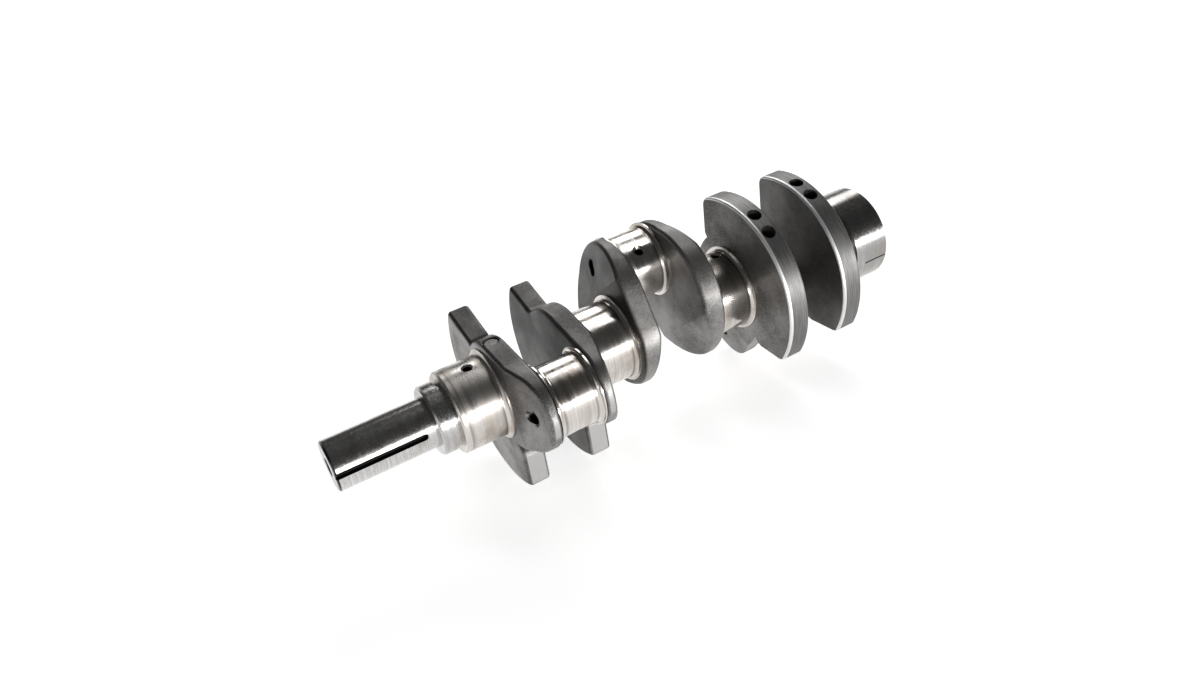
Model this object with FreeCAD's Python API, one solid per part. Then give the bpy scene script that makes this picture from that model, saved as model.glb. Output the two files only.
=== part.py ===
import FreeCAD, Part
import math
import os

# Three-throw crankshaft with four main journals. Millimetres, +Z up.
# The crank axis is the X axis. X runs from the front of the snout to the flywheel end.
# Angles about the axis are in degrees, from +Y towards +Z.
# The sections below are one forging on the real crankshaft. They meet face to face.

# ---- driving dimensions ------------------------------------------------------------
throw = 46.5
throw_pitch = 107.5
first_pin_x = 160.6
first_throw_angle = 174.5
throw_step_angle = -120.0

main_radius = 31.5
pin_radius = 26.75
pin_length = 35.0
web_thickness = 17.5

snout_radius = 19.0
gear_seat_radius = 26.3
flange_radius = 38.5
gear_seat_x = 74.8
main_1_x = 89.4
seal_x = 441.0
flange_x = 450.0
rear_x = 474.0

journal_fillet = 3.4
thrust_ring_width = 1.2
edge_chamfer = 1.5

counterweight_radius = 75.0
pin_end_radius = 31.0
end_web_main_radius = 40.0
inner_web_main_radius = 44.5
middle_web_main_radius = 40.3
middle_web_pin_radius = 44.5
middle_web_pin_offset = 31.0
bulge_radius = 56.0
bulge_offset = 16.0
valley_fillet = 8.0
forged_tip_fillet = 2.5
machined_tip_fillet = 9.0
forged_edge_fillet = 3.0
machined_edge_fillet = 1.6

pin_bevel_start = 37.0
pin_bevel_end = 78.0
pin_bevel_depth = 10.0
main_bevel_start = -13.0
main_bevel_end = -42.0
main_bevel_depth = 8.5

# A shoulder is a straight side of a counterweight. Each is given in its throw's own
# frame: how far its inner end lies along and across the throw, and its direction.
front_counterweight = {
    "shoulders": ((-25.5, -34.5, 205.5), (29.0, 41.7, 98.2)),
    "middle_angle": 145.5,
}
web_5_counterweight = {
    "shoulders": ((-23.9, 42.3, 160.5), (25.5, -46.0, 250.0)),
    "middle_angle": -148.0,
}
web_6_counterweight = {
    "shoulders": ((-30.0, 38.5, 158.5), (24.0, -45.0, 244.0)),
    "middle_angle": -148.0,
}

keyway_width = 4.8
keyway_depth = 3.0
keyway_length = 67.5
snout_bore_radius = 7.0
snout_bore_depth = 50.0
groove_width = 3.5
groove_depth = 1.8

oil_hole_radius = 3.0
oil_hole_rim = 4.4
pin_oil_angle = 79.0
# Each main journal has one oil hole: its place along the crank, and its angle.
main_oil_holes = ((110.5, 98.0), (217.4, 278.0), (330.8, 88.0), (428.8, 90.0))
drilling_entry = 57.0
plug_recess = 9.0
plug_length = 5.0
pocket_radius = 4.6
pocket_half_length = 2.2
pocket_depth = 5.0

rim_plug_angle = 87.0
rim_hole_radius = 6.2
rim_hole_floor = 24.0
rim_plug_top = 38.6
rim_plug_chamfer = 1.2
spot_face_radius = 7.0
spot_face_floor = 39.2

balance_hole_radius = 5.6
balance_hole_depth = 20.0
balance_angles_web_5 = (113.0, 127.0)
balance_angles_web_6 = (102.0, 115.0)

flange_bolt_count = 6
flange_bolt_circle_radius = 26.5
flange_bolt_radius = 4.5
flange_bolt_depth = 20.0
pilot_radius = 14.0
pilot_depth = 20.0
drill_point_slope = 0.6
flange_flat_angle = 185.0
flange_flat_width = 12.5
flange_flat_depth = 1.2

# ---- places worked out from them ---------------------------------------------------
pin_centres = [first_pin_x + index * throw_pitch for index in range(3)]
throw_angles = [first_throw_angle + index * throw_step_angle for index in range(3)]
web_starts = []
for pin_centre in pin_centres:
    web_starts.append(pin_centre - pin_length / 2 - web_thickness)
    web_starts.append(pin_centre + pin_length / 2)
main_spans = [
    (main_1_x, web_starts[0]),
    (web_starts[1] + web_thickness, web_starts[2]),
    (web_starts[3] + web_thickness, web_starts[4]),
    (web_starts[5] + web_thickness, seal_x),
]

origin = FreeCAD.Vector(0, 0, 0)
along_crank = FreeCAD.Vector(1, 0, 0)


# ---- helpers -----------------------------------------------------------------------
def radial(angle, length=1.0):
    """Vector square to the crank axis, at this angle."""
    turn = math.radians(angle)
    return FreeCAD.Vector(0, length * math.cos(turn), length * math.sin(turn))


def at_x(x):
    """Point on the crank axis."""
    return FreeCAD.Vector(x, 0, 0)


def disc(start, end, radius, offset=0.0):
    """Round disc along the crank, its centre offset along the throw."""
    return Part.makeCylinder(radius, end - start, FreeCAD.Vector(start, offset, 0), along_crank)


def prism(outline, start, end):
    """Solid with this (y, z) outline between two places along the crank."""
    points = [FreeCAD.Vector(start, y, z) for y, z in outline]
    face = Part.Face(Part.makePolygon(points + [points[0]]))
    return face.extrude(at_x(end - start))


def turned(profile):
    """Solid turned about the crank axis from steps of (x, radius), or of
    (x, radius, x, radius) for an arc to the first place by way of the second."""
    edges = []
    last = FreeCAD.Vector(profile[0][0], profile[0][1], 0)
    for step in profile[1:]:
        target = FreeCAD.Vector(step[0], step[1], 0)
        if len(step) == 4:
            middle = FreeCAD.Vector(step[2], step[3], 0)
            edges.append(Part.Arc(last, middle, target).toShape())
        else:
            edges.append(Part.LineSegment(last, target).toShape())
        last = target
    return Part.Face(Part.Wire(edges)).revolve(origin, along_crank, 360)


def edged_disc(start, end, radius, front_chamfer, rear_chamfer):
    """Turned disc with a chamfer on each rim. A chamfer may be zero."""
    profile = [(start, 0), (start, radius - front_chamfer)]
    if front_chamfer > 0:
        profile.append((start + front_chamfer, radius))
    profile.append((end - rear_chamfer, radius))
    if rear_chamfer > 0:
        profile.append((end, radius - rear_chamfer))
    profile.append((end, 0))
    profile.append((start, 0))
    return turned(profile)


def turn_to(shape, angle):
    """Copy of a shape swung about the crank axis."""
    return shape.rotated(origin, along_crank, angle)


def rimmed_drill(mouth, inwards, radius, depth, rim_radius):
    """Drill from a point on a surface, with a 45 degree conical rim."""
    reach = rim_radius
    outside = mouth - inwards * reach
    bore = Part.makeCylinder(radius, depth + reach, outside, inwards)
    cone_length = reach + rim_radius - radius
    rim = Part.makeCone(radius + cone_length, radius, cone_length, outside, inwards)
    return bore.fuse(rim)


def blind_hole(mouth, inwards, radius, depth):
    """Flat-mouthed drilled hole with a conical bottom."""
    bore = Part.makeCylinder(radius, depth, mouth, inwards)
    point = Part.makeCone(radius, 0, radius * drill_point_slope, mouth + inwards * depth, inwards)
    return bore.fuse(point)


# ---- oil drillings -----------------------------------------------------------------
def drilling_ends(index):
    """Mouth on the web's bevelled pin end, and far end at the foot of the next main's hole."""
    rise = (drilling_entry - pin_bevel_start) / (pin_bevel_end - pin_bevel_start)
    mouth_x = web_starts[2 * index] + pin_bevel_depth * rise
    mouth = at_x(mouth_x) + radial(throw_angles[index], drilling_entry)
    return mouth, at_x(main_oil_holes[index + 1][0])


def drilling(index):
    """Slanted drilling from outside the web, through the pin, to the next main."""
    mouth, goal = drilling_ends(index)
    inwards = (goal - mouth).normalize()
    outside = mouth - inwards * 4 * oil_hole_radius
    return Part.makeCylinder(oil_hole_radius, (goal - outside).Length, outside, inwards)


def drilling_pocket(index):
    """Slot in the bevelled pin end, where the slanted drilling starts."""
    start = web_starts[2 * index]
    floor = drilling_ends(index)[0].x + pocket_depth
    inner_end = drilling_entry - pocket_half_length
    outer_end = drilling_entry + pocket_half_length
    corner = FreeCAD.Vector(start, inner_end, -pocket_radius)
    slot = Part.makeBox(floor - start, 2 * pocket_half_length, 2 * pocket_radius, corner)
    slot = slot.fuse(disc(start, floor, pocket_radius, inner_end))
    slot = slot.fuse(disc(start, floor, pocket_radius, outer_end))
    return turn_to(slot, throw_angles[index])


def drilling_plug(index):
    """Plug pressed into a slanted drilling, below its mouth."""
    mouth, goal = drilling_ends(index)
    inwards = (goal - mouth).normalize()
    return Part.makeCylinder(oil_hole_radius, plug_length, mouth + inwards * plug_recess, inwards)


def pin_oil_hole(index):
    """Hole from a crankpin's surface to the slanted drilling inside it."""
    mouth, goal = drilling_ends(index)
    share = (pin_centres[index] - mouth.x) / (goal.x - mouth.x)
    target = mouth + (goal - mouth) * share
    angle = throw_angles[index]
    centre = at_x(pin_centres[index]) + radial(angle, throw)
    surface = centre + radial(angle + pin_oil_angle, pin_radius)
    inwards = (target - surface).normalize()
    return rimmed_drill(surface, inwards, oil_hole_radius, (target - surface).Length, oil_hole_rim)


def main_oil_hole(index):
    """Hole from a main journal's surface to the crank axis, with a chamfered rim."""
    place, angle = main_oil_holes[index]
    mouth = at_x(place) + radial(angle, main_radius)
    return rimmed_drill(mouth, -radial(angle), oil_hole_radius, main_radius, oil_hole_rim)


def rim_hole():
    """Drilling in the valley of web 1, with a spot face round its mouth."""
    outwards = radial(rim_plug_angle)
    centre = at_x(web_starts[0] + web_thickness / 2)
    clear = counterweight_radius
    bore = Part.makeCylinder(rim_hole_radius, clear, centre + outwards * rim_hole_floor, outwards)
    face = Part.makeCylinder(spot_face_radius, clear, centre + outwards * spot_face_floor, outwards)
    return bore.fuse(face)


def rim_plug():
    """Plug with a chamfered top that closes the drilling in the valley of web 1."""
    outwards = radial(rim_plug_angle)
    centre = at_x(web_starts[0] + web_thickness / 2)
    foot = centre + outwards * (rim_plug_top - plug_length)
    shoulder = plug_length - rim_plug_chamfer
    body = Part.makeCylinder(rim_hole_radius, shoulder, foot, outwards)
    top_radius = rim_hole_radius - rim_plug_chamfer
    top = Part.makeCone(rim_hole_radius, top_radius, rim_plug_chamfer, foot + outwards * shoulder, outwards)
    return body.fuse(top)


# ---- journals ----------------------------------------------------------------------
def journal(start, end, radius, front_fillet):
    """Ground journal that flares into a thin thrust ring where it meets a web."""
    ring = radius + journal_fillet
    bend = journal_fillet * (1 - math.sqrt(0.5))
    flare_start = start + thrust_ring_width
    flare_end = end - thrust_ring_width
    profile = [(start, 0)]
    if front_fillet:
        profile.append((start, ring))
        profile.append((flare_start, ring))
        flare_foot = flare_start + journal_fillet
        profile.append((flare_foot, radius, flare_start + bend, radius + bend))
    else:
        profile.append((start, radius - edge_chamfer))
        profile.append((start + edge_chamfer, radius))
    profile.append((flare_end - journal_fillet, radius))
    profile.append((flare_end, ring, flare_end - bend, radius + bend))
    profile.append((end, ring))
    profile.append((end, 0))
    profile.append((start, 0))
    return turned(profile)


def main_journal(index):
    """Main journal, with its oil hole and the drilling from the throw in front."""
    start, end = main_spans[index]
    body = journal(start, end, main_radius, front_fillet=index > 0)
    body = body.cut(main_oil_hole(index))
    if index > 0:
        body = body.cut(drilling(index - 1))
    return body


def crankpin(index):
    """Crankpin at its throw, with its oil hole and its share of the drilling."""
    start = pin_centres[index] - pin_length / 2
    body = journal(start, start + pin_length, pin_radius, front_fillet=True)
    body.translate(FreeCAD.Vector(0, throw, 0))
    body = turn_to(body, throw_angles[index])
    return body.cut(pin_oil_hole(index)).cut(drilling(index))


# ---- webs, each made with its throw along +Y -------------------------------------------
def oval(start, end, near_radius, far_radius, far_offset):
    """Two discs and the straight sides that are tangent to both."""
    tilt = math.acos((near_radius - far_radius) / far_offset)
    run = math.cos(tilt)
    rise = math.sin(tilt)
    sides = [
        (near_radius * run, near_radius * rise),
        (far_offset + far_radius * run, far_radius * rise),
        (far_offset + far_radius * run, -far_radius * rise),
        (near_radius * run, -near_radius * rise),
    ]
    body = disc(start, end, near_radius).fuse(disc(start, end, far_radius, far_offset))
    return body.fuse(prism(sides, start, end))


def counterweight(start, end, spec):
    """Part of a round disc between the two straight shoulders."""
    far = 3 * counterweight_radius
    (first_s, first_n, first_angle), (second_s, second_n, second_angle) = spec["shoulders"]
    first = FreeCAD.Vector(0, first_s, first_n)
    second = FreeCAD.Vector(0, second_s, second_n)
    corners = [
        origin,
        first,
        first + radial(first_angle, far),
        radial(spec["middle_angle"], 2 * far),
        second + radial(second_angle, far),
        second,
    ]
    outline = [(corner.y, corner.z) for corner in corners]
    return prism(outline, start, end).common(disc(start, end, counterweight_radius))


def runs_along_crank(edge):
    """True for a straight edge that is parallel to the crank axis."""
    if len(edge.Vertexes) != 2:
        return False
    slant = edge.Vertexes[1].Point - edge.Vertexes[0].Point
    return abs(slant.y) + abs(slant.z) < 1e-6


def shoulder_edges(body, spec, nearest, farthest):
    """Edges along the crank that lie on a shoulder, between two distances from the axis."""
    found = []
    for edge in body.Edges:
        if not runs_along_crank(edge):
            continue
        point = edge.Vertexes[0].Point
        if not nearest < math.hypot(point.y, point.z) < farthest:
            continue
        for s, n, angle in spec["shoulders"]:
            across = radial(angle + 90)
            if abs((point - FreeCAD.Vector(point.x, s, n)).dot(across)) < 1e-3:
                found.append(edge)
                break
    return found


def bevel(body, face_x, into, start, end, depth):
    """Cut a sloping flat on one face of a web. Into is 1 on its front face, -1 on its rear."""
    width = 2 * counterweight_radius
    outline = [
        (face_x, start),
        (face_x + into * depth, end),
        (face_x - into * depth, end),
        (face_x - into * depth, start),
    ]
    points = [FreeCAD.Vector(x, s, -width) for x, s in outline]
    face = Part.Face(Part.makePolygon(points + [points[0]]))
    return body.cut(face.extrude(FreeCAD.Vector(0, 0, 2 * width)))


def pin_end_bevel(body, index):
    """Slope the pin end of a web on the side where the main journal is."""
    start = web_starts[index]
    main_in_front = index % 2 == 0
    face_x = start if main_in_front else start + web_thickness
    into = 1 if main_in_front else -1
    return bevel(body, face_x, into, pin_bevel_start, pin_bevel_end, pin_bevel_depth)


def soften(body, fillet):
    """Round every edge of a web except those that run along the crank."""
    return body.makeFillet(fillet, [edge for edge in body.Edges if not runs_along_crank(edge)])


def weighted_web(index, main_end_radius, spec, tip_fillet, edge_fillet):
    """Web with a counterweight opposite its pin."""
    start = web_starts[index]
    end = start + web_thickness
    body = oval(start, end, main_end_radius, pin_end_radius, throw)
    body = body.fuse(counterweight(start, end, spec)).removeSplitter()
    valley_reach = counterweight_radius - valley_fillet
    valleys = shoulder_edges(body, spec, pin_end_radius, valley_reach)
    body = body.makeFillet(valley_fillet, valleys)
    tips = shoulder_edges(body, spec, valley_reach, 2 * counterweight_radius)
    body = body.makeFillet(tip_fillet, tips)
    return soften(pin_end_bevel(body, index), edge_fillet)


def middle_web(index, bulge_side):
    """Web without a counterweight, fuller on one side of its throw."""
    start = web_starts[index]
    end = start + web_thickness
    body = oval(start, end, middle_web_main_radius, middle_web_pin_radius, middle_web_pin_offset)
    reach = 2 * bulge_radius
    half_plane = [(-reach, 0), (reach, 0), (reach, bulge_side * reach), (-reach, bulge_side * reach)]
    bulge = disc(start, end, bulge_radius, bulge_offset).common(prism(half_plane, start, end))
    body = body.fuse(bulge).removeSplitter()
    body = pin_end_bevel(body, index)
    main_in_front = index % 2 == 0
    face_x = end if main_in_front else start
    into = -1 if main_in_front else 1
    body = bevel(body, face_x, into, main_bevel_start, main_bevel_end, main_bevel_depth)
    return soften(body, forged_edge_fillet)


def balance_holes(index, angles):
    """Radial balancing drillings in a counterweight's rim."""
    centre = at_x(web_starts[index] + web_thickness / 2)
    holes = []
    for angle in angles:
        mouth = centre + radial(angle, counterweight_radius + balance_hole_radius)
        depth = balance_hole_depth + balance_hole_radius
        holes.append(blind_hole(mouth, -radial(angle), balance_hole_radius, depth))
    return holes


def crank_web(index):
    """One of the six webs, at its place, with its drillings."""
    main_end = end_web_main_radius if index in (0, 5) else inner_web_main_radius
    if index in (2, 3):
        body = middle_web(index, -1 if index == 2 else 1)
    elif index < 2:
        fillets = (forged_tip_fillet, forged_edge_fillet)
        body = weighted_web(index, main_end, front_counterweight, *fillets)
    else:
        fillets = (machined_tip_fillet, machined_edge_fillet)
        spec = web_5_counterweight if index == 4 else web_6_counterweight
        body = weighted_web(index, main_end, spec, *fillets)
    body = turn_to(body, throw_angles[index // 2]).cut(drilling(index // 2))
    if index % 2 == 0:
        body = body.cut(drilling_pocket(index // 2))
    if index == 0:
        body = body.cut(rim_hole())
    if index == 4:
        body = body.cut(balance_holes(index, balance_angles_web_5))
    if index == 5:
        body = body.cut(balance_holes(index, balance_angles_web_6))
    return body


# ---- ends --------------------------------------------------------------------------
def front_snout():
    """Damper seat with a keyway in line with crankpin 1 and a hole for the damper bolt."""
    # Swung so that the seam of the turned surface lies along the keyway.
    body = turn_to(edged_disc(0, gear_seat_x, snout_radius, edge_chamfer, 0), first_throw_angle)
    mouth_x = -edge_chamfer
    round_centre = keyway_length - keyway_width / 2
    floor = snout_radius - keyway_depth
    slot_corner = FreeCAD.Vector(mouth_x, floor, -keyway_width / 2)
    slot = Part.makeBox(round_centre - mouth_x, snout_radius, keyway_width, slot_corner)
    slot_centre = FreeCAD.Vector(round_centre, floor, 0)
    slot_end = Part.makeCylinder(keyway_width / 2, snout_radius, slot_centre, radial(0))
    keyway = turn_to(slot.fuse(slot_end), first_throw_angle)
    bolt_hole = blind_hole(at_x(0), along_crank, snout_bore_radius, snout_bore_depth)
    return body.cut(keyway).cut(bolt_hole)


def timing_gear_seat():
    """Collar behind the snout, with a grinding groove where it meets main journal 1."""
    groove_radius = gear_seat_radius - groove_depth
    profile = [
        (gear_seat_x, 0),
        (gear_seat_x, gear_seat_radius - edge_chamfer),
        (gear_seat_x + edge_chamfer, gear_seat_radius),
        (main_1_x - groove_width, gear_seat_radius),
        (main_1_x - groove_width, groove_radius),
        (main_1_x, groove_radius),
        (main_1_x, 0),
        (gear_seat_x, 0),
    ]
    return turned(profile)


def rear_seal_journal():
    """Ground ring that the rear oil seal runs on."""
    return disc(seal_x, flange_x, flange_radius)


def flywheel_flange():
    """Flange with tapped holes, a pilot bore and a shallow flat on its rim."""
    body = edged_disc(flange_x, rear_x, flange_radius, 0, edge_chamfer)
    rear = at_x(rear_x)
    body = body.cut(blind_hole(rear, -along_crank, pilot_radius, pilot_depth))
    for number in range(flange_bolt_count):
        angle = flange_flat_angle + number * 360 / flange_bolt_count
        mouth = rear + radial(angle, flange_bolt_circle_radius)
        body = body.cut(blind_hole(mouth, -along_crank, flange_bolt_radius, flange_bolt_depth))
    flat_corner = FreeCAD.Vector(flange_x, flange_radius - flange_flat_depth, -flange_flat_width / 2)
    flat = Part.makeBox(rear_x - flange_x, flange_radius, flange_flat_width, flat_corner)
    return body.cut(turn_to(flat, flange_flat_angle))


# ---- all the nodes -----------------------------------------------------------------
def all_nodes():
    """Every node of the crankshaft by name."""
    nodes = {
        "front_snout": front_snout(),
        "timing_gear_seat": timing_gear_seat(),
        "rear_seal_journal": rear_seal_journal(),
        "flywheel_flange": flywheel_flange(),
        "rim_plug": rim_plug(),
    }
    for index in range(4):
        nodes[f"main_journal_{index + 1}"] = main_journal(index)
    for index in range(3):
        nodes[f"crankpin_{index + 1}"] = crankpin(index)
        nodes[f"oil_plug_{index + 1}"] = drilling_plug(index)
    for index in range(6):
        nodes[f"crank_web_{index + 1}"] = crank_web(index)
    return nodes


def main():
    os.makedirs("parts", exist_ok=True)
    for name, shape in all_nodes().items():
        print(name, len(shape.Solids), shape.isValid(), round(shape.Volume))
        shape.Solids[0].exportStep(os.path.join("parts", name + ".step"))


main()
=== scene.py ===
import math

import bpy
from mathutils import Matrix, Vector


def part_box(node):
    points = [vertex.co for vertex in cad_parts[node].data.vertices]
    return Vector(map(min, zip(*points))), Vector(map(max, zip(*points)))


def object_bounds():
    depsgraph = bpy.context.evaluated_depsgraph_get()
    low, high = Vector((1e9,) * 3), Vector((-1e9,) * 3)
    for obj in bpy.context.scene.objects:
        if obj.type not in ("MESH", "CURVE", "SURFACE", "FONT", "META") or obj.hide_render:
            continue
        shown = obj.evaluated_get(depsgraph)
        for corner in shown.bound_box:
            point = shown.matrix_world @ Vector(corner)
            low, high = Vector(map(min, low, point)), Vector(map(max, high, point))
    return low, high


# Studio picture of a three-throw crankshaft. Metres, in the same frame as the CAD:
# the crank axis is X, the snout points to -X, and Z is up.

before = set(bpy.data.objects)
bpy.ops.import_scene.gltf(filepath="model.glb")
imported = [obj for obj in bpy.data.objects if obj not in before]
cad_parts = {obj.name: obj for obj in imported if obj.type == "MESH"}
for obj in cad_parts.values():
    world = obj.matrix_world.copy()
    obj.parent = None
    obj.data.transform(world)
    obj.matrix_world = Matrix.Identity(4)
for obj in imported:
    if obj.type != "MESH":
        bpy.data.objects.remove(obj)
cad_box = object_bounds()

MM = 0.001

# ---- pieces by finish ----------------------------------------------------------------
JOURNALS = ["main_journal_1", "main_journal_2", "main_journal_3", "main_journal_4"]
CRANKPINS = ["crankpin_1", "crankpin_2", "crankpin_3"]
# Webs 1 to 4, each with the crankpin that its drilling enters, if it has one.
FORGED_WEBS = {"crank_web_1": "crankpin_1", "crank_web_2": None,
               "crank_web_3": "crankpin_2", "crank_web_4": None}
MACHINED_WEBS = ["crank_web_5", "crank_web_6"]
# Webs with painted light on their faces that point to -Y.
PAINTED_LIGHT_WEBS = ["crank_web_1", "crank_web_2"]
PLUGS = ["oil_plug_1", "oil_plug_2", "oil_plug_3", "rim_plug"]

# ---- sizes on the crank --------------------------------------------------------------
MAIN_RADIUS = 31.5 * MM
PIN_RADIUS = 26.75 * MM
SNOUT_RADIUS = 19.0 * MM
SNOUT_CHAMFER = 1.5 * MM
THROW = 46.5 * MM
# The turned rim of a counterweight, and the painted highlight band at its front edge.
RIM_START = 73.2 * MM
HIGHLIGHT_BAND = 2.2 * MM
# The slot where a slanted drilling starts: its distance from the crank's axis, its depth
# below the web's face, and how far round its middle it has painted shade.
MOUTH_REACH = 57.0 * MM
MOUTH_SINK = 5.0 * MM
MOUTH_SIZE = 7.2 * MM
# A hole or keyway has painted shade from this far below the surface, except on an end face.
HOLE_SHADE = 1.5 * MM
END_FACE = 0.3 * MM
FADE = 0.4 * MM

# ---- directions and shading ----------------------------------------------------------
# Direction, round the crank's axis, of the faces with painted light on webs 1 and 2.
PAINTED_LIGHT_ANGLE = math.radians(184.0)
PLUG_ANGLE = math.radians(87.0)
FRONT = (-1.0, 0.0, 0.0)
UP = (0.0, 0.0, 1.0)
PLUG_TOP = (0.0, math.cos(PLUG_ANGLE), math.sin(PLUG_ANGLE))
PAINTED_LIGHT_SIDE = (0.0, math.cos(PAINTED_LIGHT_ANGLE), math.sin(PAINTED_LIGHT_ANGLE))
# Share of painted shade on each web's front face, and on every web's upper side.
FRONT_SHADE = {"crank_web_1": 0.0, "crank_web_2": 0.75, "crank_web_3": 0.75,
               "crank_web_4": 0.1, "crank_web_5": 0.15, "crank_web_6": 0.6}
TOP_SHADE = 0.5

# ---- studio --------------------------------------------------------------------------
# The floor glows a little more far from the crank, so it stays white to the horizon.
FLOOR_SIZE = 30.0
FLOOR_GLOW = 0.76
EDGE_GLOW = 1.0
GLOW_NEAR = 0.9
GLOW_FAR = 2.2
# Heights are the sine of the angle above the horizon.
HORIZON_TOP = 0.08
CEILING_START = 0.20
HORIZON_LIGHT = 0.95
CEILING_LIGHT = 0.05
CRANK_MIDDLE = (0.24, 0.0, 0.0)
# Each softbox: place, width, height and power in watts.
SOFTBOXES = {"far_box": ((1.05, 1.15, 1.0), 1.2, 0.8, 10.0),
             "high_strip": ((0.85, 0.2, 1.5), 0.9, 0.3, 3.8),
             "front_box": ((0.7, -1.5, 0.04), 2.2, 0.2, 22.0)}

# ---- camera --------------------------------------------------------------------------
CAMERA_PLACE = (-0.0528, -0.5793, 0.3776)
CAMERA_AZIMUTH = math.radians(25.08)
CAMERA_DOWN = math.radians(30.14)
CAMERA_ROLL = math.radians(-10.8)
LENS = 29.28
SENSOR_WIDTH = 36.0
CLIP_START = 0.01
CLIP_END = 100.0


# ---- node helpers --------------------------------------------------------------------
class Nodes:
    """Short calls for building one material's node tree."""

    def __init__(self, name):
        self.material = bpy.data.materials.new(name)
        self.material.use_nodes = True
        self.tree = self.material.node_tree
        self.shader = self.tree.nodes["Principled BSDF"]
        self.place = self.tree.nodes.new("ShaderNodeTexCoord").outputs["Object"]

    def put(self, socket, value):
        """Link a socket to an output, or set its constant."""
        if isinstance(value, bpy.types.NodeSocket):
            self.tree.links.new(value, socket)
        else:
            socket.default_value = value

    def stretched(self, along, across):
        """Object place with one scale along the crank and another across it."""
        mapping = self.tree.nodes.new("ShaderNodeMapping")
        self.put(mapping.inputs["Vector"], self.place)
        self.put(mapping.inputs["Scale"], (along, across, across))
        return mapping.outputs["Vector"]

    def noise(self, scale, detail=4.0, roughness=0.55, place=None):
        """Noise value around a half, with features of about one over the scale."""
        node = self.tree.nodes.new("ShaderNodeTexNoise")
        self.put(node.inputs["Vector"], place or self.place)
        self.put(node.inputs["Scale"], scale)
        self.put(node.inputs["Detail"], detail)
        self.put(node.inputs["Roughness"], roughness)
        return node.outputs["Fac"]

    def math(self, operation, first, second=0.0):
        """One arithmetic step."""
        node = self.tree.nodes.new("ShaderNodeMath")
        node.operation = operation
        self.put(node.inputs[0], first)
        self.put(node.inputs[1], second)
        return node.outputs[0]

    def ramp(self, value, low, high, out_low=0.0, out_high=1.0):
        """Smooth step from one output to another as the value goes from low to high."""
        node = self.tree.nodes.new("ShaderNodeMapRange")
        node.interpolation_type = "SMOOTHSTEP"
        self.put(node.inputs["Value"], value)
        self.put(node.inputs["From Min"], low)
        self.put(node.inputs["From Max"], high)
        self.put(node.inputs["To Min"], out_low)
        self.put(node.inputs["To Max"], out_high)
        return node.outputs["Result"]

    def mix(self, share, first, second):
        """Blend of two colours."""
        node = self.tree.nodes.new("ShaderNodeMix")
        node.data_type = "RGBA"
        self.put(node.inputs[0], share)
        self.put(node.inputs[6], first)
        self.put(node.inputs[7], second)
        return node.outputs[2]

    def axis_place(self, centre_y=0.0, centre_z=0.0):
        """Place along the crank, and distance from an axis parallel to it."""
        split = self.tree.nodes.new("ShaderNodeSeparateXYZ")
        self.put(split.inputs[0], self.place)
        across_y = self.math("SUBTRACT", split.outputs[1], centre_y)
        across_z = self.math("SUBTRACT", split.outputs[2], centre_z)
        square_y = self.math("MULTIPLY", across_y, across_y)
        square_z = self.math("MULTIPLY", across_z, across_z)
        return split.outputs[0], self.math("SQRT", self.math("ADD", square_y, square_z))

    def distance(self):
        """Distance from the origin."""
        node = self.tree.nodes.new("ShaderNodeVectorMath")
        node.operation = "LENGTH"
        self.put(node.inputs[0], self.place)
        return node.outputs["Value"]

    def facing(self, direction):
        """How squarely the surface faces a fixed direction, from -1 to 1."""
        geometry = self.tree.nodes.new("ShaderNodeNewGeometry")
        node = self.tree.nodes.new("ShaderNodeVectorMath")
        node.operation = "DOT_PRODUCT"
        self.put(node.inputs[0], geometry.outputs["True Normal"])
        self.put(node.inputs[1], direction)
        return node.outputs["Value"]

    def bump(self, height, distance, strength=1.0):
        """Fine relief on the shader."""
        node = self.tree.nodes.new("ShaderNodeBump")
        self.put(node.inputs["Height"], height)
        self.put(node.inputs["Distance"], distance)
        self.put(node.inputs["Strength"], strength)
        self.put(self.shader.inputs["Normal"], node.outputs["Normal"])

    def finish(self, colour, roughness, metallic=1.0):
        """Set the shader's main sockets."""
        self.put(self.shader.inputs["Base Color"], colour)
        self.put(self.shader.inputs["Roughness"], roughness)
        self.put(self.shader.inputs["Metallic"], metallic)
        return self.material


def grey(value, warmth=0.0):
    """Colour near grey. Warmth above zero is browner, below zero is bluer."""
    return (value * (1 + warmth), value, value * (1 - warmth), 1.0)


# ---- colours -------------------------------------------------------------------------
GRAIN = grey(0.42, 0.02)
PIT = grey(0.04, 0.06)
# Painted shade on faces that point forward or up.
PAINTED_FRONT_SHADE = grey(0.03, 0.03)
PAINTED_TOP_SHADE = grey(0.04, 0.03)
# Painted light on one side of webs 1 and 2.
PAINTED_LIGHT_GREY = grey(0.52, 0.01)
RIM_DARK = grey(0.11, 0.02)
RIM_LIGHT = grey(0.20, 0.02)
# Painted highlight along the front edge of a turned rim.
HIGHLIGHT_DARK = grey(0.62)
HIGHLIGHT_LIGHT = grey(0.78)
# Painted shade inside drilling mouths, and inside holes and the keyway.
PAINTED_MOUTH_SHADE = grey(0.012)
PAINTED_HOLE_SHADE = grey(0.02)
GROUND_DARK = grey(0.52, 0.05)
GROUND_LIGHT = grey(0.72, 0.05)
GROUND_BAND = grey(0.30, 0.16)
GROUND_OIL = grey(0.24, 0.26)
# Painted shade beside the journals' fillets.
PAINTED_FILLET_SHADE = grey(0.10, 0.10)
SPECKLE = grey(0.15, 0.05)
TURNED_OIL = grey(0.20, 0.26)
# Painted shade on the snout's chamfer, and a lighter one on its end face.
PAINTED_CHAMFER_SHADE = grey(0.03)
PAINTED_END_FACE_SHADE = grey(0.30, 0.02)
PLUG_DARK = grey(0.10, 0.04)
PLUG_LIGHT = grey(0.26, 0.04)
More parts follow.
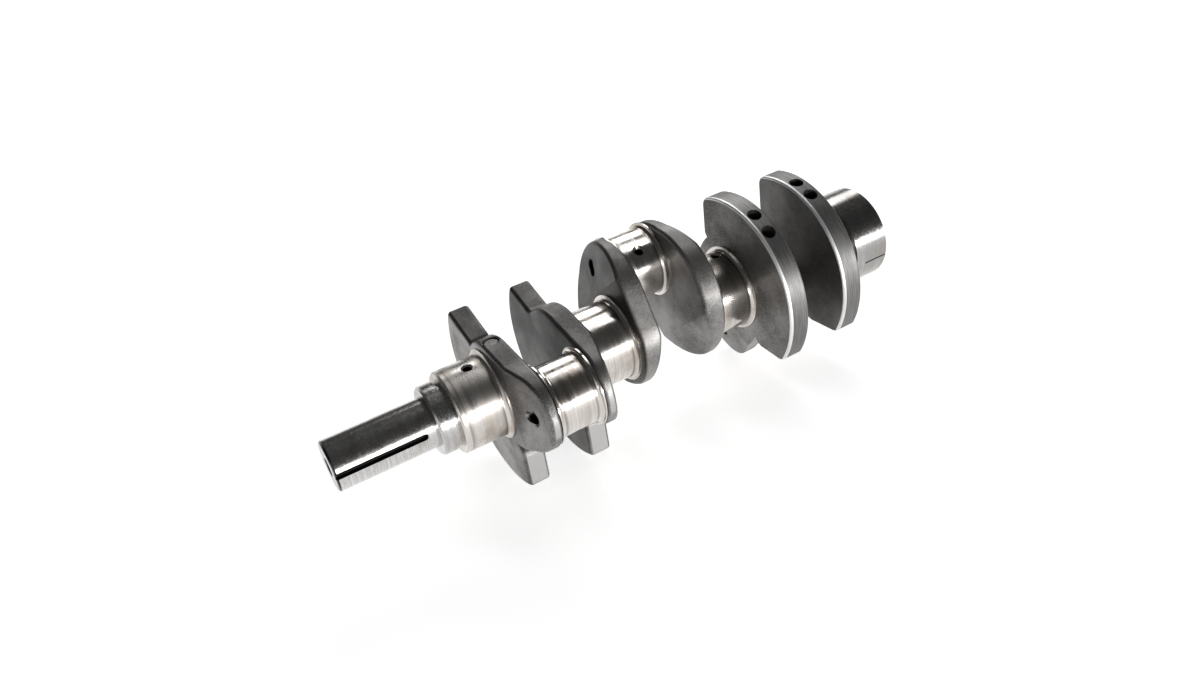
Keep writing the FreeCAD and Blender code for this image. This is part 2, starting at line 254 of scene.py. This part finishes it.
# Painted shade round the plug's flat top.
PAINTED_GROOVE_SHADE = grey(0.01)
FLOOR_DARK = grey(0.86)
FLOOR_LIGHT = grey(0.90)
WHITE = grey(1.0)


# ---- materials -----------------------------------------------------------------------
def drilling_mouth(pin_name, web_name):
    """Middle of the slot in a web's pin end, where its slanted drilling starts."""
    low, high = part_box(pin_name)
    share = MOUTH_REACH / THROW
    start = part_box(web_name)[0][0]
    return start + MOUTH_SINK, (low[1] + high[1]) / 2 * share, (low[2] + high[2]) / 2 * share


def turned_rim(nodes, colour, rim_front):
    """The colour with fine turning marks on a counterweight's rim, and a painted highlight
    along its front edge.
    """
    along, reach = nodes.axis_place()
    rim = nodes.ramp(reach, RIM_START, RIM_START + 0.4 * MM)
    marks = nodes.noise(1.0, 2.0, 0.5, nodes.stretched(2600.0, 60.0))
    turned = nodes.mix(nodes.ramp(marks, 0.3, 0.7), RIM_DARK, RIM_LIGHT)
    edge_end = rim_front + HIGHLIGHT_BAND
    edge = nodes.ramp(along, edge_end, edge_end + 0.5 * MM, 1.0, 0.0)
    # Painted highlight: a light band along the rim's front edge.
    highlight = nodes.mix(nodes.ramp(marks, 0.3, 0.7), HIGHLIGHT_DARK, HIGHLIGHT_LIGHT)
    turned = nodes.mix(edge, turned, highlight)
    return nodes.mix(rim, colour, turned)


def paint_mouth_shade(nodes, colour, mouth):
    """The colour with painted shade, black, below a slanted drilling's mouth."""
    along, reach = nodes.axis_place(mouth[1], mouth[2])
    # Painted shade: black inside the mouth, from a little below the face.
    near = nodes.ramp(reach, MOUTH_SIZE, MOUTH_SIZE + 0.3 * MM, 1.0, 0.0)
    deep = nodes.ramp(along, mouth[0], mouth[0] + 0.8 * MM)
    return nodes.mix(nodes.math("MULTIPLY", near, deep), colour, PAINTED_MOUTH_SHADE)


def forged_steel(web, dark, light, rim_front=None, mouth=None):
    """Shot-blasted forging of one web: mottled charcoal grey with a fine grain, painted
    shade on faces that point forward or up, and painted light on webs 1 and 2 where they
    face -Y.
    A counterweight with a turned rim gives the place of its front face, and a drilled web
    the middle of its drilling's mouth."""
    nodes = Nodes("forged_steel_" + web)
    patches = nodes.noise(28.0, 5.0, 0.6)
    grain = nodes.noise(900.0, 3.0, 0.6)
    pits = nodes.noise(330.0, 4.0, 0.65)
    # Painted shade on faces that point forward or up; how much on each web is in FRONT_SHADE
    # and TOP_SHADE.
    front = nodes.ramp(nodes.facing(FRONT), 0.5, 0.9, 0.0, FRONT_SHADE[web])
    top = nodes.ramp(nodes.facing(UP), 0.3, 0.8, 0.0, TOP_SHADE)
    colour = nodes.mix(nodes.ramp(patches, 0.32, 0.68), grey(dark, 0.03), grey(light, 0.04))
    colour = nodes.mix(nodes.ramp(grain, 0.35, 0.7, 0.0, 0.35), colour, GRAIN)
    colour = nodes.mix(nodes.ramp(pits, 0.62, 0.78, 0.0, 0.55), colour, PIT)
    colour = nodes.mix(front, colour, PAINTED_FRONT_SHADE)
    colour = nodes.mix(top, colour, PAINTED_TOP_SHADE)
    if rim_front is not None:
        colour = turned_rim(nodes, colour, rim_front)
    # Painted shade inside the drilling's mouth.
    if mouth is not None:
        colour = paint_mouth_shade(nodes, colour, mouth)
    # Painted light on the faces of webs 1 and 2 that point to -Y.
    if web in PAINTED_LIGHT_WEBS:
        painted_light = nodes.ramp(nodes.facing(PAINTED_LIGHT_SIDE), 0.93, 0.985, 0.0, 0.75)
        colour = nodes.mix(painted_light, colour, PAINTED_LIGHT_GREY)
    height = nodes.math("ADD", nodes.math("MULTIPLY", grain, 0.5), pits)
    nodes.bump(height, 0.12 * MM, 0.7)
    return nodes.finish(colour, nodes.ramp(patches, 0.3, 0.7, 0.50, 0.38), 0.9)


def ground_steel(name, radius, gloss):
    """Ground journal: fine circumferential lines, oil tint, and painted shade beside its
    fillets and inside its holes."""
    low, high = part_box(name)
    nodes = Nodes("ground_steel_" + name)
    lines = nodes.noise(1.0, 3.0, 0.6, nodes.stretched(3200.0, 25.0))
    bands = nodes.noise(1.0, 3.0, 0.5, nodes.stretched(190.0, 12.0))
    stain = nodes.noise(38.0, 5.0, 0.62)
    colour = nodes.mix(nodes.ramp(lines, 0.3, 0.7), GROUND_DARK, GROUND_LIGHT)
    colour = nodes.mix(nodes.ramp(bands, 0.42, 0.72, 0.0, 0.5), colour, GROUND_BAND)
    colour = nodes.mix(nodes.ramp(stain, 0.48, 0.72, 0.0, 0.5), colour, GROUND_OIL)
    along, reach = nodes.axis_place((low[1] + high[1]) / 2, (low[2] + high[2]) / 2)
    from_front = nodes.math("SUBTRACT", along, low[0])
    from_rear = nodes.math("SUBTRACT", high[0], along)
    from_end = nodes.math("MINIMUM", from_front, from_rear)
    after = nodes.ramp(from_end, 3.6 * MM, 5.0 * MM)
    before = nodes.ramp(from_end, 5.0 * MM, 6.6 * MM, 1.0, 0.0)
    beside = nodes.math("MULTIPLY", nodes.math("MULTIPLY", after, before), 0.55)
    # Painted shade in a band beside each fillet.
    colour = nodes.mix(beside, colour, PAINTED_FILLET_SHADE)
    # Painted shade inside oil holes, but not on the end faces.
    inside = nodes.ramp(reach, radius - HOLE_SHADE - FADE, radius - HOLE_SHADE, 1.0, 0.0)
    inside = nodes.math("MULTIPLY", inside, nodes.ramp(from_end, END_FACE, 2 * END_FACE))
    colour = nodes.mix(inside, colour, PAINTED_HOLE_SHADE)
    nodes.bump(lines, 0.012 * MM, 0.5)
    return nodes.finish(colour, nodes.ramp(bands, 0.3, 0.75, gloss, gloss + 0.14))


def keyed_end(nodes, colour):
    """The colour with painted shade in the keyway and bolt hole, dark painted shade on the
    chamfer and grey painted shade on the end face.
    """
    along, reach = nodes.axis_place()
    edge = SNOUT_RADIUS - HOLE_SHADE
    # Painted shade in the keyway and bolt hole.
    colour = nodes.mix(nodes.ramp(reach, edge - FADE, edge, 1.0, 0.0), colour, PAINTED_HOLE_SHADE)
    # Painted shade on the front chamfer, and a lighter one on the end face.
    chamfer = nodes.ramp(along, SNOUT_CHAMFER, SNOUT_CHAMFER + FADE, 1.0, 0.0)
    colour = nodes.mix(chamfer, colour, PAINTED_CHAMFER_SHADE)
    return nodes.mix(nodes.ramp(along, END_FACE, 2 * END_FACE, 1.0, 0.0), colour, PAINTED_END_FACE_SHADE)


def turned_steel(name, dark, light, gloss, speckles, keyed=False):
    """Fine-turned end of the crank: soft rings, small speckle and oil stains."""
    nodes = Nodes(name)
    lines = nodes.noise(1.0, 3.0, 0.6, nodes.stretched(2200.0, 30.0))
    speckle = nodes.noise(520.0, 4.0, 0.7)
    stain = nodes.noise(45.0, 5.0, 0.6)
    colour = nodes.mix(nodes.ramp(lines, 0.3, 0.7), grey(dark, 0.02), grey(light, 0.02))
    colour = nodes.mix(nodes.ramp(speckle, 0.55, 0.75, 0.0, speckles), colour, SPECKLE)
    colour = nodes.mix(nodes.ramp(stain, 0.48, 0.72, 0.0, 0.5), colour, TURNED_OIL)
    if keyed:
        colour = keyed_end(nodes, colour)
    nodes.bump(nodes.math("ADD", lines, speckle), 0.01 * MM, 0.4)
    return nodes.finish(colour, nodes.ramp(speckle, 0.3, 0.75, gloss, gloss + 0.12))


def plug_steel():
    """Pressed plug, dull and oily, with painted shade on every face that doesn't point the
    way of the rim plug's flat top, which blackens the groove round that top.
    """
    nodes = Nodes("plug_steel")
    patches = nodes.noise(420.0, 3.0, 0.6)
    colour = nodes.mix(nodes.ramp(patches, 0.3, 0.7), PLUG_DARK, PLUG_LIGHT)
    top = nodes.ramp(nodes.facing(PLUG_TOP), 0.8, 0.95)
    # Painted shade on faces that don't point the way of the rim plug's top, as in its
    # groove.
    colour = nodes.mix(top, PAINTED_GROOVE_SHADE, colour)
    nodes.bump(patches, 0.05 * MM, 0.5)
    return nodes.finish(colour, nodes.ramp(patches, 0.3, 0.7, 0.35, 0.5))


def dress(name, material):
    """Give a CAD node its material."""
    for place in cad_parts[name].material_slots:
        place.material = material


def dress_crank():
    """Materials for every node."""
    plug = plug_steel()
    for name, pin in FORGED_WEBS.items():
        mouth = drilling_mouth(pin, name) if pin else None
        dress(name, forged_steel(name, 0.08, 0.26, mouth=mouth))
    for name in MACHINED_WEBS:
        rim_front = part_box(name)[0][0]
        dress(name, forged_steel(name, 0.07, 0.22, rim_front=rim_front))
    for name in JOURNALS:
        gloss = 0.24 if name == "main_journal_1" else 0.14
        dress(name, ground_steel(name, MAIN_RADIUS, gloss))
    for name in CRANKPINS:
        dress(name, ground_steel(name, PIN_RADIUS, 0.14))
    dress("rear_seal_journal", turned_steel("rear_seal_steel", 0.27, 0.42, 0.14, 0.2))
    dress("flywheel_flange", turned_steel("flange_steel", 0.24, 0.38, 0.16, 0.3))
    dress("timing_gear_seat", turned_steel("gear_seat_steel", 0.40, 0.60, 0.18, 0.25))
    dress("front_snout", turned_steel("snout_steel", 0.50, 0.66, 0.16, 0.45, keyed=True))
    for name in PLUGS:
        dress(name, plug)


# ---- studio --------------------------------------------------------------------------
def floor():
    """Wide, white, softly glowing floor just under the crank."""
    half = FLOOR_SIZE / 2
    height = cad_box[0][2]
    corners = [(-half, -half, height), (half, -half, height),
               (half, half, height), (-half, half, height)]
    mesh = bpy.data.meshes.new("floor")
    mesh.from_pydata(corners, [], [(0, 1, 2, 3)])
    piece = bpy.data.objects.new("floor", mesh)
    bpy.context.scene.collection.objects.link(piece)
    nodes = Nodes("floor_white")
    colour = nodes.mix(nodes.noise(3.0, 3.0, 0.5), FLOOR_DARK, FLOOR_LIGHT)
    nodes.finish(colour, 0.9, 0.0)
    nodes.put(nodes.shader.inputs["Specular IOR Level"], 0.0)
    nodes.put(nodes.shader.inputs["Emission Color"], WHITE)
    glow = nodes.ramp(nodes.distance(), GLOW_NEAR, GLOW_FAR, FLOOR_GLOW, EDGE_GLOW)
    nodes.put(nodes.shader.inputs["Emission Strength"], glow)
    mesh.materials.append(nodes.material)


def softbox(name, place, width, height, power):
    """Rectangular area light that faces the middle of the crank."""
    data = bpy.data.lights.new(name, "AREA")
    data.shape = "RECTANGLE"
    data.size = width
    data.size_y = height
    data.energy = power
    lamp = bpy.data.objects.new(name, data)
    bpy.context.scene.collection.objects.link(lamp)
    aim = Vector(CRANK_MIDDLE) - Vector(place)
    lamp.location = place
    lamp.rotation_euler = aim.to_track_quat("-Z", "Y").to_euler()


def studio():
    """Dim ceiling over a pale horizon, with softboxes."""
    world = bpy.data.worlds.new("studio")
    world.use_nodes = True
    tree = world.node_tree
    direction = tree.nodes.new("ShaderNodeTexCoord").outputs["Generated"]
    split = tree.nodes.new("ShaderNodeSeparateXYZ")
    tree.links.new(direction, split.inputs[0])
    height = tree.nodes.new("ShaderNodeMapRange")
    height.interpolation_type = "SMOOTHSTEP"
    height.inputs["From Min"].default_value = HORIZON_TOP
    height.inputs["From Max"].default_value = CEILING_START
    height.inputs["To Min"].default_value = HORIZON_LIGHT
    height.inputs["To Max"].default_value = CEILING_LIGHT
    tree.links.new(split.outputs[2], height.inputs["Value"])
    tree.links.new(height.outputs["Result"], tree.nodes["Background"].inputs["Strength"])
    tree.nodes["Background"].inputs["Color"].default_value = WHITE
    bpy.context.scene.world = world
    for name, (place, width, box_height, power) in SOFTBOXES.items():
        softbox(name, place, width, box_height, power)
    bpy.context.scene.view_settings.view_transform = "Standard"


def camera():
    """Camera in front of the snout, above it and slightly rolled."""
    across_view = math.cos(CAMERA_DOWN)
    forward = Vector((math.sin(CAMERA_AZIMUTH) * across_view,
                      math.cos(CAMERA_AZIMUTH) * across_view, -math.sin(CAMERA_DOWN)))
    level = forward.cross(Vector(UP)).normalized()
    upright = level.cross(forward)
    right = level * math.cos(CAMERA_ROLL) + upright * math.sin(CAMERA_ROLL)
    turn = Matrix((right, right.cross(forward), -forward)).transposed()
    data = bpy.data.cameras.new("camera")
    data.sensor_width = SENSOR_WIDTH
    data.lens = LENS
    data.clip_start = CLIP_START
    data.clip_end = CLIP_END
    piece = bpy.data.objects.new("camera", data)
    piece.matrix_world = Matrix.Translation(CAMERA_PLACE) @ turn.to_4x4()
    bpy.context.scene.collection.objects.link(piece)
    bpy.context.scene.camera = piece


dress_crank()
floor()
studio()
camera()
